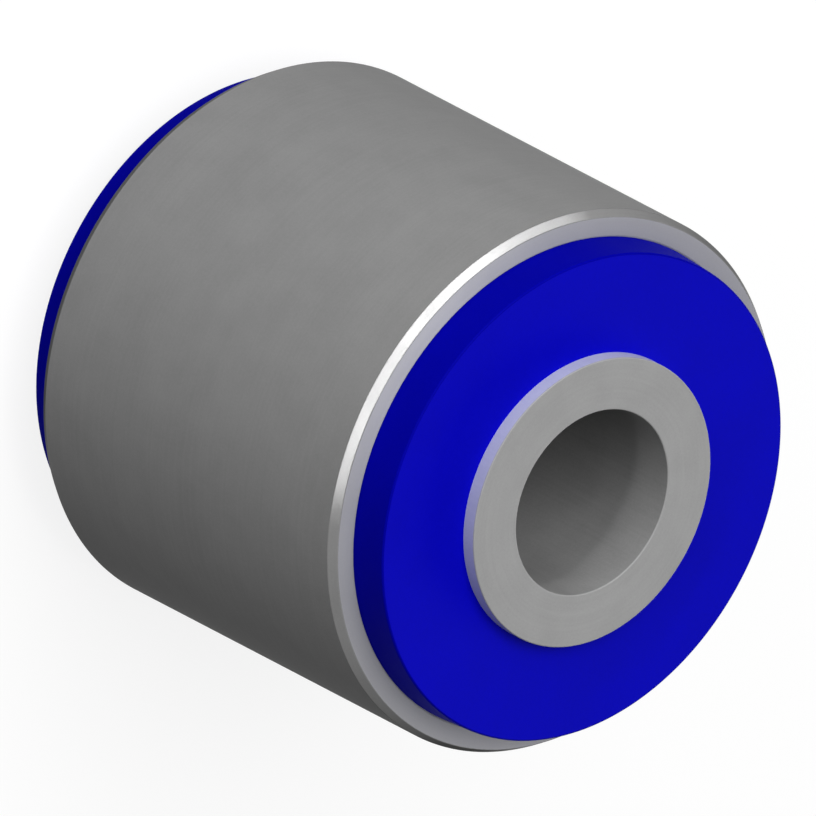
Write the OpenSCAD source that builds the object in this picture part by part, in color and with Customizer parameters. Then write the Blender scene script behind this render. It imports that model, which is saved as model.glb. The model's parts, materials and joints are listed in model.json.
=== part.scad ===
// Rubber metal bush: a ring of rubber bonded between a thin outer sleeve and
// a thick inner sleeve. All three pieces are turned about the Z axis, both
// ends are alike, and the origin is the middle of the bore.

/* [Outer sleeve] */
// Outside diameter, which is pressed into the eye that holds the bush
sleeve_od = 60; // [50:0.5:90]
// Wall thickness of the outer sleeve
sleeve_wall = 2.8; // [1.5:0.1:4]
// Length of the outer sleeve from end face to end face
sleeve_length = 48; // [20:0.5:120]
// Length along the axis of the lead-in chamfer at each end
lead_in_length = 1; // [0.2:0.1:3]
// How deep the lead-in chamfer cuts into the wall
lead_in_depth = 0.58; // [0.1:0.02:0.8]
// Edge break inside each mouth, where the rubber comes out
mouth_break = 0.15; // [0.05:0.05:0.6]

/* [Rubber] */
// How far the rubber stands out past each end face of the outer sleeve
rubber_overhang = 4.3; // [1.5:0.1:15]
// How much its side draws in from the mouth of the sleeve to its lip
rubber_draft = 0.25; // [0:0.05:0.8]
// Radius of the lip around each face of the rubber
lip_radius = 0.2; // [0.05:0.05:0.8]

/* [Inner sleeve] */
// Outside diameter of the inner sleeve
tube_od = 32; // [26:0.5:38]
// Bore that the bolt passes through
bore_d = 20.5; // [8:0.5:23]
// How far the inner sleeve stands out past each face of the rubber
tube_overhang = 1.7; // [0.3:0.1:10]
// Edge break around the bore and around the outside of each end face
tube_break = 0.15; // [0.05:0.05:0.3]

/* [Hidden] */

// Fineness of a full turn
turn_fn = 180;
// Straight steps in the quarter circle of the rubber's lip
lip_steps = 6;

sleeve_r = sleeve_od / 2;
sleeve_bore_r = sleeve_r - sleeve_wall;
tube_r = tube_od / 2;
bore_r = bore_d / 2;
lip_r = sleeve_bore_r - rubber_draft;

// Heights above the middle of the bush
sleeve_top = sleeve_length / 2;
mouth_foot = sleeve_top - mouth_break;
rubber_top = sleeve_top + rubber_overhang;
tube_top = rubber_top + tube_overhang;

// Closes a section: the points of its upper half, given from the inner wall to
// the outer wall, are followed by the same points mirrored in the middle plane.
function both_ends(upper) = concat(
    upper,
    [for (i = [len(upper) - 1 : -1 : 0]) [upper[i][0], -upper[i][1]]]
);

// Turned steel tube that is pressed into the eye. The long chamfer outside
// leads it in, and the small edge break inside frees the rubber at the mouth.
module outer_sleeve() {
    upper = [
        [sleeve_bore_r, mouth_foot],
        [sleeve_bore_r + mouth_break, sleeve_top],
        [sleeve_r - lead_in_depth, sleeve_top],
        [sleeve_r, sleeve_top - lead_in_length]
    ];
    color([0.52, 0.52, 0.53])
        rotate_extrude($fn = turn_fn)
            polygon(both_ends(upper));
}

// Moulded rubber that fills the space between the sleeves and is bonded to
// both. It stands out of each mouth, draws in a little and ends in a flat face
// with a rounded lip.
module rubber_body() {
    lip = [
        for (i = [0 : lip_steps])
            let (angle = 90 - 90 * i / lip_steps)
                [lip_r - lip_radius + lip_radius * cos(angle),
                 rubber_top - lip_radius + lip_radius * sin(angle)]
    ];
    upper = concat([[tube_r, rubber_top]], lip, [[sleeve_bore_r, mouth_foot]]);
    color([0.04, 0.03, 0.69])
        rotate_extrude($fn = turn_fn)
            polygon(both_ends(upper));
}

// Thick steel tube that the bolt clamps between the cheeks of a bracket. It is
// the longest piece, so that its end faces take the load and not the rubber.
module inner_sleeve() {
    upper = [
        [bore_r, tube_top - tube_break],
        [bore_r + tube_break, tube_top],
        [tube_r - tube_break, tube_top],
        [tube_r, tube_top - tube_break]
    ];
    color([0.59, 0.59, 0.59])
        rotate_extrude($fn = turn_fn)
            polygon(both_ends(upper));
}

outer_sleeve();
rubber_body();
inner_sleeve();
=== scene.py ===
import json
import math

import bmesh
import bpy
from mathutils import Matrix, Vector


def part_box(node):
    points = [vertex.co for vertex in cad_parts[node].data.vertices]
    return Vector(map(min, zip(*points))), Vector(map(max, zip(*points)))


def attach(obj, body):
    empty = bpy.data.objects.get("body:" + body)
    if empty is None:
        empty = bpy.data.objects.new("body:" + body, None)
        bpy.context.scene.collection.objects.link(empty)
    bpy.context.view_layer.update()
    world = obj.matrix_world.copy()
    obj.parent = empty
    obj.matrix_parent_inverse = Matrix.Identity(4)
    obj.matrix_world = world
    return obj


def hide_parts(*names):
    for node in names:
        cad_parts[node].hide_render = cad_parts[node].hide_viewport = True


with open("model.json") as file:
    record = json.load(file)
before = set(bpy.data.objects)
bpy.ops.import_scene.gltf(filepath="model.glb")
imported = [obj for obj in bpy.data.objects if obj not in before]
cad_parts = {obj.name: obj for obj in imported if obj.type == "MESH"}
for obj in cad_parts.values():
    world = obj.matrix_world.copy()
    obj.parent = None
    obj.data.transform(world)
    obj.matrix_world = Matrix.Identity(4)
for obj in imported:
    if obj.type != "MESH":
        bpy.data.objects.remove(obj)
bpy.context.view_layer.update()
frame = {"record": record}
mounts = {mount["name"]: mount for mount in frame["record"]["mounts"]}


# Inner sleeve
# Thick-walled tube of carbon steel, cut to length and faced on a lathe. Its
# outside was primed so that the rubber would bond to it. A bolt goes through
# it and clamps its two end faces.

FULL_TURN_STEPS = 256
# Points that are closer than this, in metres, are one and the same.
SAME_PLACE = 1e-6
# An edge that turns by more than this stays sharp.
SHARP_EDGE_ANGLE = math.radians(35)
# Faces whose areas differ by less than this, in square metres, share their
# shading, as the strips of a rounded edge do. A wider face shades flat.
SHARED_SHADING_AREA = 1e-8


def turned_piece(name, section, breaks):
    """Rounds some corners of a closed section of (radius, height) points and spins it round Z.

    breaks holds (radius, height, size, steps), where height stands for both ends.
    """
    work = bmesh.new()
    outline = [work.verts.new((radius, 0, height)) for radius, height in section]
    for vert, following in zip(outline, outline[1:] + outline[:1]):
        work.edges.new((vert, following))
    for radius, height, size, steps in breaks:
        corners = [
            vert for vert in work.verts
            if math.hypot(vert.co.x - radius, abs(vert.co.z) - height) < SAME_PLACE]
        bmesh.ops.bevel(
            work, geom=corners, offset=size, offset_type="OFFSET", segments=steps, profile=0.5,
            affect="VERTICES", material=-1, clamp_overlap=True)
    bmesh.ops.spin(
        work, geom=work.verts[:] + work.edges[:], cent=(0, 0, 0), axis=(0, 0, 1), dvec=(0, 0, 0),
        angle=math.tau, steps=FULL_TURN_STEPS, use_merge=True, use_normal_flip=False, use_duplicate=False)
    bmesh.ops.remove_doubles(work, verts=work.verts[:], dist=SAME_PLACE)
    bmesh.ops.recalc_face_normals(work, faces=work.faces[:])
    mesh = bpy.data.meshes.new(name)
    work.to_mesh(mesh)
    work.free()
    for face in mesh.polygons:
        face.use_smooth = True
    mesh.set_sharp_from_angle(angle=SHARP_EDGE_ANGLE)
    piece = bpy.data.objects.new(name, mesh)
    bpy.context.scene.collection.objects.link(piece)
    shading = piece.modifiers.new("flat_faces_stay_flat", "WEIGHTED_NORMAL")
    shading.weight = 100
    shading.thresh = SHARED_SHADING_AREA
    shading.keep_sharp = True
    return piece


def linear(hex_colour):
    """Turns an sRGB hex colour into linear red, green, blue and alpha."""
    parts = [int(hex_colour[place:place + 2], 16) / 255 for place in (1, 3, 5)]
    return [part / 12.92 if part <= 0.04045 else ((part + 0.055) / 1.055) ** 2.4 for part in parts] + [1]


def add(owner, kind, inputs=None, **settings):
    """Adds a node to a material or a world.

    inputs maps a socket's name or number to a value or to another node's output.
    """
    made = owner.node_tree.nodes.new(kind)
    for name, value in settings.items():
        setattr(made, name, value)
    for socket, value in (inputs or {}).items():
        if isinstance(value, bpy.types.NodeSocket):
            owner.node_tree.links.new(value, made.inputs[socket])
        else:
            made.inputs[socket].default_value = value
    return made


# A lathe leaves fine rings round the axis and a drawing die leaves fine lines
# along it. They are about 0.1 mm apart on the real pieces and are drawn about
# three times as far apart, because finer ones would not show. Over them lies a
# grey that is a little cloudy, with crystals or grit of about 0.25 mm.
RING_PITCH = 0.35e-3
LINE_PITCH = 0.3e-3
LINE_STRETCH = 40
CLOUD_SIZE = 5e-3
GRIT_SIZE = 0.25e-3
MARK_DEPTH = 0.02e-3
GLOSS_SWING = 0.05


def steel(
        name, light, dark, lines, relief_strength, roughness, metallic, specular,
        edge_tint="#FFFFFF", streak=0.0):
    """Grey steel between the hex colours dark and light, with tool lines "round" the axis or "along" it.

    streak draws reflections out across the rings of a flat face, from 0 for not at all to 1.
    """
    material = bpy.data.materials.new(name)
    material.use_nodes = True
    material.node_tree.nodes.clear()
    place = add(material, "ShaderNodeTexCoord").outputs["Object"]
    if lines == "round":
        x_y_z = add(material, "ShaderNodeSeparateXYZ", {0: place})
        flat_place = add(material, "ShaderNodeCombineXYZ", {
            0: x_y_z.outputs[0], 1: x_y_z.outputs[1]}).outputs[0]
        radius = add(material, "ShaderNodeVectorMath", {0: flat_place}, operation="LENGTH").outputs["Value"]
        outward = add(material, "ShaderNodeVectorMath", {0: flat_place}, operation="NORMALIZE").outputs[0]
        height = add(material, "ShaderNodeMath", {0: x_y_z.outputs[2]}, operation="ABSOLUTE").outputs[0]
        # The feed changes evenly along the barrel, up a chamfer and across an end face.
        feed = add(material, "ShaderNodeMath", {0: height, 1: radius}, operation="SUBTRACT").outputs[0]
        turns = add(material, "ShaderNodeMath", {0: feed, 1: RING_PITCH}, operation="DIVIDE").outputs[0]
        lift = add(material, "ShaderNodeCombineXYZ", {2: turns}).outputs[0]
        line_place = add(material, "ShaderNodeVectorMath", {
            0: outward, 1: lift}, operation="ADD").outputs[0]
    else:
        lines_per_metre = 1 / LINE_PITCH
        line_place = add(material, "ShaderNodeMapping", {
            "Vector": place,
            "Scale": [lines_per_metre, lines_per_metre, lines_per_metre / LINE_STRETCH]}).outputs[0]
    tool_lines = add(material, "ShaderNodeTexNoise", {"Vector": line_place, "Scale": 1.0, "Detail": 3.0})
    clouds = add(material, "ShaderNodeTexNoise", {"Vector": place, "Scale": 1 / CLOUD_SIZE, "Detail": 4.0})
    grit = add(material, "ShaderNodeTexNoise", {"Vector": place, "Scale": 1 / GRIT_SIZE, "Detail": 2.0})
    lined_clouds = add(material, "ShaderNodeMix", {
        "Factor": 0.35, 2: clouds.outputs["Fac"], 3: tool_lines.outputs["Fac"]}, data_type="FLOAT")
    fine_tone = add(material, "ShaderNodeMix", {
        "Factor": 0.3, 2: lined_clouds.outputs[0], 3: grit.outputs["Fac"]}, data_type="FLOAT").outputs[0]
    colour = add(material, "ShaderNodeValToRGB", {"Fac": fine_tone})
    colour.color_ramp.elements[0].position = 0.35
    colour.color_ramp.elements[0].color = linear(dark)
    colour.color_ramp.elements[1].position = 0.65
    colour.color_ramp.elements[1].color = linear(light)
    gloss = add(material, "ShaderNodeMapRange", {
        "Value": fine_tone, "From Min": 0.3, "From Max": 0.7,
        "To Min": roughness - GLOSS_SWING, "To Max": roughness + GLOSS_SWING}).outputs[0]
    line_relief = add(material, "ShaderNodeBump", {
        "Height": tool_lines.outputs["Fac"], "Strength": relief_strength, "Distance": MARK_DEPTH})
    relief = add(material, "ShaderNodeBump", {
        "Height": grit.outputs["Fac"], "Strength": relief_strength, "Distance": MARK_DEPTH,
        "Normal": line_relief.outputs[0]})
    surface = add(material, "ShaderNodeBsdfPrincipled", {
        "Base Color": colour.outputs[0], "Roughness": gloss, "Metallic": metallic,
        "Specular IOR Level": specular, "Specular Tint": linear(edge_tint), "Anisotropic": streak,
        "Normal": relief.outputs[0]})
    if streak > 0:
        material.node_tree.links.new(outward, surface.inputs["Tangent"])
    add(material, "ShaderNodeOutputMaterial", {"Surface": surface.outputs[0]})
    return material


tube_low, tube_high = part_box("inner_sleeve")
tube_r = tube_high.x
tube_top = tube_high.z
bore_r = mounts["bolt_bore"]["dims"]["r_mm"] / 1000
tube_break = 0.15e-3
tube_break_steps = 3

inner_sleeve = turned_piece(
    "inner_sleeve_turned",
    [(bore_r, tube_top), (tube_r, tube_top), (tube_r, -tube_top), (bore_r, -tube_top)],
    [(bore_r, tube_top, tube_break, tube_break_steps), (tube_r, tube_top, tube_break, tube_break_steps)])

# Three finishes: the end faces are faced on the lathe, the bore stays as the tube
# was drawn and is darker, and the outside has dried bonding primer on it. The
# outside is painted a paler grey with a touch of lilac, which is a painted sheen
# and a painted reflection of the blue rubber. All three are so dull that they
# are drawn without a metal's mirroring.
faced_steel = steel(
    "faced_steel", "#A1A1A1", "#979797", "round",
    relief_strength=0.25, roughness=0.4, metallic=0.0, specular=0.1)
drawn_steel = steel(
    "drawn_steel", "#919191", "#858585", "along",
    relief_strength=0.25, roughness=0.5, metallic=0.0, specular=0.05)
# Its paler grey with a touch of lilac is a painted sheen and a painted reflection of the blue rubber.
primed_steel_painted_sheen = steel(
    "primed_steel_painted_sheen", "#B3B4CB", "#A9AAC3", "along",
    relief_strength=0.2, roughness=0.55, metallic=0.0, specular=0.05)
for finish in (faced_steel, drawn_steel, primed_steel_painted_sheen):
    inner_sleeve.data.materials.append(finish)
# The material slots, in the order that they were filled.
FACED, DRAWN, PRIMED_PAINTED_SHEEN = range(3)
# The outside takes the paler lilac grey, which is a painted sheen and a painted reflection of the blue
# rubber.
for face in inner_sleeve.data.polygons:
    in_bore = math.hypot(face.center.x, face.center.y) < (bore_r + tube_r) / 2
    if abs(face.center.z) > tube_top - tube_break:
        face.material_index = FACED
    elif in_bore:
        face.material_index = DRAWN
    else:
        face.material_index = PRIMED_PAINTED_SHEEN
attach(inner_sleeve, "root")
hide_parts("inner_sleeve")


# Rubber body
# Blue rubber moulded in one shot between the two sleeves and bonded to both.
# It stands out of each mouth, draws in a little and ends in a flat face.

rubber_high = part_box("rubber_body")[1]
sleeve_bore_r = rubber_high.x
rubber_top = rubber_high.z
sleeve_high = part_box("outer_sleeve")[1]
sleeve_top = sleeve_high.z
mouth_break = 0.15e-3
rubber_draft = 0.25e-3
lip_radius = 0.2e-3
lip_steps = 5
lip_r = sleeve_bore_r - rubber_draft
mouth_foot = sleeve_top - mouth_break

rubber_body = turned_piece(
    "rubber_body_moulded",
    [(tube_r, rubber_top), (lip_r, rubber_top), (sleeve_bore_r, mouth_foot),
     (sleeve_bore_r, -mouth_foot), (lip_r, -rubber_top), (tube_r, -rubber_top)],
    [(lip_r, rubber_top, lip_radius, lip_steps)])

# Blue rubber, coloured through, with hardly any gloss but at a glancing angle.
# The sides are painted a darker blue than the flat faces, which is painted shade.
# The grain of both is about 0.3 mm.
GRAIN_SIZE = 0.3e-3
SHADE_SIZE = 8e-3


def blue_rubber(name, light, dark, grain_depth):
    """Matt blue rubber that wanders between the hex colours dark and light."""
    material = bpy.data.materials.new(name)
    material.use_nodes = True
    material.node_tree.nodes.clear()
    place = add(material, "ShaderNodeTexCoord").outputs["Object"]
    clouds = add(material, "ShaderNodeTexNoise", {"Vector": place, "Scale": 1 / SHADE_SIZE, "Detail": 3.0})
    grain = add(material, "ShaderNodeTexNoise", {"Vector": place, "Scale": 1 / GRAIN_SIZE, "Detail": 2.0})
    tone = add(material, "ShaderNodeMix", {
        "Factor": 0.4, 2: clouds.outputs["Fac"], 3: grain.outputs["Fac"]}, data_type="FLOAT").outputs[0]
    colour = add(material, "ShaderNodeValToRGB", {"Fac": tone})
    colour.color_ramp.elements[0].position = 0.35
    colour.color_ramp.elements[0].color = linear(dark)
    colour.color_ramp.elements[1].position = 0.65
    colour.color_ramp.elements[1].color = linear(light)
    relief = add(material, "ShaderNodeBump", {
        "Height": grain.outputs["Fac"], "Strength": 0.3, "Distance": grain_depth})
    gloss = add(material, "ShaderNodeMapRange", {
        "Value": tone, "From Min": 0.3, "From Max": 0.7, "To Min": 0.5, "To Max": 0.65}).outputs[0]
    surface = add(material, "ShaderNodeBsdfPrincipled", {
        "Base Color": colour.outputs[0], "Roughness": gloss, "Specular IOR Level": 0.02,
        "Normal": relief.outputs[0]})
    add(material, "ShaderNodeOutputMaterial", {"Surface": surface.outputs[0]})
    return material


end_face_rubber = blue_rubber("end_face_blue_rubber", "#0706BD", "#0605B4", grain_depth=0.03e-3)
# The darker blue of the sides is painted shade.
side_rubber_painted_darker = blue_rubber("blue_rubber_sides_painted_darker", "#01019C", "#010194", grain_depth=0.01e-3)
for finish in (end_face_rubber, side_rubber_painted_darker):
    rubber_body.data.materials.append(finish)
END_FACES, SIDES_PAINTED_DARKER = range(2)
# The sides take the darker blue, which is painted shade, and the flat faces take the rubber's own blue.
for face in rubber_body.data.polygons:
    face.material_index = SIDES_PAINTED_DARKER if abs(face.center.z) < rubber_top - SAME_PLACE else END_FACES
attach(rubber_body, "root")
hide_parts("rubber_body")


# Outer sleeve
# Thin tube of turned and phosphated carbon steel that the rubber is bonded
# into. A steep chamfer outside each end leads it into the eye that holds the
# bush, and a small edge break inside frees the rubber.

sleeve_r = sleeve_high.x
lead_in_foot = mounts["sleeve_outside"]["dims"]["length_mm"] / 1000 / 2
lead_in_depth = 0.58e-3
edge_softness = 0.06e-3
soft_edge_steps = 2

outer_sleeve = turned_piece(
    "outer_sleeve_turned",
    [(sleeve_bore_r, mouth_foot), (sleeve_bore_r + mouth_break, sleeve_top),
     (sleeve_r - lead_in_depth, sleeve_top), (sleeve_r, lead_in_foot),
     (sleeve_r, -lead_in_foot), (sleeve_r - lead_in_depth, -sleeve_top),
     (sleeve_bore_r + mouth_break, -sleeve_top), (sleeve_bore_r, -mouth_foot)],
    [(sleeve_bore_r + mouth_break, sleeve_top, edge_softness, soft_edge_steps),
     (sleeve_r - lead_in_depth, sleeve_top, edge_softness, soft_edge_steps),
     (sleeve_r, lead_in_foot, edge_softness, soft_edge_steps)])

# The outside is phosphated, which leaves a matt crust of grey crystals. The
# ends are turned after that. The chamfer is cut with a fine feed and flashes
# where it mirrors a lamp. The end face is bare steel, painted paler than the
# other end faces and with a cold tint, which is a painted sheen and a painted
# reflection of the blue rubber. Its rings spread reflections across it, so it
# is brightest in line with the lamps.
phosphated_steel = steel(
    "phosphated_steel", "#8F8F8F", "#878787", "round",
    relief_strength=0.25, roughness=0.6, metallic=0.0, specular=0.015)
turned_steel = steel(
    "turned_steel", "#8B8B8B", "#838383", "round",
    relief_strength=0.02, roughness=0.1, metallic=0.3, specular=0.0, edge_tint="#404040")
# Its paler grey with a cold tint is a painted sheen and a painted reflection of the blue rubber.
bare_steel_painted_sheen = steel(
    "bare_steel_painted_sheen", "#ACACB0", "#A3A3A7", "round",
    relief_strength=0.1, roughness=0.79, metallic=0.8, specular=0.5, streak=0.57)
for finish in (phosphated_steel, turned_steel, bare_steel_painted_sheen):
    outer_sleeve.data.materials.append(finish)
PHOSPHATED, TURNED, BARE_PAINTED_SHEEN = range(3)
# The end face takes the paler, cold-tinted grey, which is a painted sheen and a painted reflection of the
# blue rubber.
for face in outer_sleeve.data.polygons:
    on_chamfer = math.hypot(face.center.x, face.center.y) > sleeve_r - lead_in_depth - edge_softness
    if abs(face.center.z) <= lead_in_foot - edge_softness:
        face.material_index = PHOSPHATED
    elif on_chamfer:
        face.material_index = TURNED
    else:
        face.material_index = BARE_PAINTED_SHEEN
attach(outer_sleeve, "root")
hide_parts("outer_sleeve")


# Floor
# A plain pale table top that the bush stands on. To the camera and in
# reflections it is close to white and keeps a soft shadow. It throws some
# light back up at the underside of the barrel.

FLOOR_R = 0.6
FLOOR_GLOW = 0.85


def seen_ray(owner):
    """1 for a ray from the camera, off a gloss or through glass, and 0 for one that gathers light."""
    ray = add(owner, "ShaderNodeLightPath")
    camera_or_gloss = add(owner, "ShaderNodeMath", {
        0: ray.outputs["Is Camera Ray"], 1: ray.outputs["Is Glossy Ray"]}, operation="MAXIMUM").outputs[0]
    return add(owner, "ShaderNodeMath", {
        0: camera_or_gloss, 1: ray.outputs["Is Transmission Ray"]}, operation="MAXIMUM").outputs[0]


floor_work = bmesh.new()
bmesh.ops.create_circle(floor_work, cap_ends=True, segments=96, radius=FLOOR_R)
bmesh.ops.translate(floor_work, verts=floor_work.verts[:], vec=(0, 0, tube_low.z))
floor_mesh = bpy.data.meshes.new("floor")
floor_work.to_mesh(floor_mesh)
floor_work.free()
floor = bpy.data.objects.new("floor", floor_mesh)
bpy.context.scene.collection.objects.link(floor)

table_top = bpy.data.materials.new("pale_table_top")
table_top.use_nodes = True
table_top.node_tree.nodes.clear()
seen = seen_ray(table_top)
glow_level = add(table_top, "ShaderNodeMath", {0: seen, 1: FLOOR_GLOW}, operation="MULTIPLY").outputs[0]
glow = add(table_top, "ShaderNodeEmission", {"Color": linear("#FFFFFF"), "Strength": glow_level})
thrown_back = add(table_top, "ShaderNodeMapRange", {"Value": seen, "To Min": 0.2, "To Max": 0.18})
matt = add(table_top, "ShaderNodeBsdfDiffuse", {"Color": thrown_back.outputs[0]})
both = add(table_top, "ShaderNodeAddShader", {0: glow.outputs[0], 1: matt.outputs[0]})
add(table_top, "ShaderNodeOutputMaterial", {"Surface": both.outputs[0]})
floor_mesh.materials.append(table_top)


# Camera
# It looks down on the bush without perspective and is rolled, so that the near
# end of the axis points to the lower right of the picture.

PICTURE_SIDE = 816
SLEEVE_RADIUS_IN_PIXELS = 288.4
PIXELS_PER_METRE = SLEEVE_RADIUS_IN_PIXELS / sleeve_r
AXIS_TOWARDS_CAMERA = math.radians(44.01)
AXIS_BELOW_LEVEL = math.radians(27.54)
CENTRE_RIGHT = 0.4
CENTRE_UP = 1.3
CAMERA_DISTANCE = 0.5

turn = Matrix.Rotation(math.pi / 2 - AXIS_TOWARDS_CAMERA, 4, "X")
turn = turn @ Matrix.Rotation(math.pi / 2 + AXIS_BELOW_LEVEL, 4, "Z")
aim = Vector((-CENTRE_RIGHT / PIXELS_PER_METRE, -CENTRE_UP / PIXELS_PER_METRE, CAMERA_DISTANCE))
camera_data = bpy.data.cameras.new("camera")
camera_data.type = "ORTHO"
camera_data.ortho_scale = PICTURE_SIDE / PIXELS_PER_METRE
camera_data.clip_start = 0.01
camera_data.clip_end = 5
camera = bpy.data.objects.new("camera", camera_data)
camera.matrix_world = Matrix.Translation(turn @ aim) @ turn
bpy.context.scene.collection.objects.link(camera)
bpy.context.scene.camera = camera


# Lamps
# A broad lamp and a long strip light the barrel from the left, a square one
# high in front lights the end face and the bore, and a weak one low behind
# lights the side of the barrel that the camera misses.

LAMP_DISTANCE = 1.0
FLASH_START = math.radians(218)
FLASH_END = math.radians(290)


def chamfer_point(angle):
    """The point half way up the near chamfer, at that angle round Z from X towards Y."""
    radius = sleeve_r - lead_in_depth / 2
    return Vector((radius * math.cos(angle), radius * math.sin(angle), (sleeve_top + lead_in_foot) / 2))


def mirrored(angle):
    """The direction that the near chamfer mirrors to the camera at that angle."""
    slope = math.atan2(lead_in_depth, sleeve_top - lead_in_foot)
    facing = Vector((math.cos(slope) * math.cos(angle), math.cos(slope) * math.sin(angle), math.sin(slope)))
    to_camera = turn.to_3x3() @ Vector((0, 0, 1))
    return 2 * facing.dot(to_camera) * facing - to_camera


def soft_lamp(name, lit_point, towards, along, width, height, spread, level):
    """A lamp in the direction towards from lit_point, with its width running along.

    level is how bright a small lamp of that power would render a white surface that faces it.
    """
    out = Vector(towards).normalized()
    side = Vector(along)
    side = (side - side.project(out)).normalized()
    data = bpy.data.lights.new(name, "AREA")
    data.shape = "RECTANGLE"
    data.size = width
    data.size_y = height
    data.spread = math.radians(spread)
    data.energy = level * (math.pi * LAMP_DISTANCE) ** 2
    lamp = bpy.data.objects.new(name, data)
    turned_out = Matrix((side, out.cross(side), out)).transposed().to_4x4()
    lamp.matrix_world = Matrix.Translation(lit_point + out * LAMP_DISTANCE) @ turned_out
    bpy.context.scene.collection.objects.link(lamp)


# The strip lies where the near chamfer mirrors it to the camera, which makes the
# chamfer flash. The directions that it mirrors from one end of the flash to the
# other lie on a shallow arc. The straight strip runs beside the arc's chord, half
# way between chord and arc. It is about twice as long as the chord and dims
# towards its ends, so that the flash fades out on both sides.
flash_middle = (FLASH_START + FLASH_END) / 2
flash_run = mirrored(FLASH_START) - mirrored(FLASH_END)
half_arc_height = Vector((0, 0, 0.013))
strip_aim = chamfer_point(flash_middle) + half_arc_height
near_end = Vector((0, 0, sleeve_top))
soft_lamp(
    "strip_lamp", strip_aim, mirrored(flash_middle), flash_run,
    width=7.4, height=0.045, spread=158, level=1.12)
soft_lamp(
    "side_lamp", near_end, (-0.45, -0.85, 0.28), (-0.85, 0.45, 0),
    width=1.8, height=1.0, spread=180, level=0.5)
soft_lamp(
    "high_lamp", near_end, (-0.32, -0.383, 0.866), (1, 0, 0),
    width=0.8, height=0.8, spread=180, level=0.89)
soft_lamp(
    "back_lamp", near_end, (-0.07, 0.98, 0.15), (1, 0, 0),
    width=0.7, height=0.3, spread=180, level=0.38)

# The room throws hardly any light on the bush, but it is white to the camera
# and in reflections.
sky = bpy.data.worlds.new("studio")
bpy.context.scene.world = sky
sky.use_nodes = True
sky.node_tree.nodes.clear()
sky_level = add(sky, "ShaderNodeMapRange", {
    "Value": seen_ray(sky), "To Min": 0.05, "To Max": 1.0}).outputs[0]
sky_glow = add(sky, "ShaderNodeBackground", {"Color": linear("#FFFFFF"), "Strength": sky_level})
add(sky, "ShaderNodeOutputWorld", {"Surface": sky_glow.outputs[0]})

bpy.context.scene.view_settings.view_transform = "Standard"
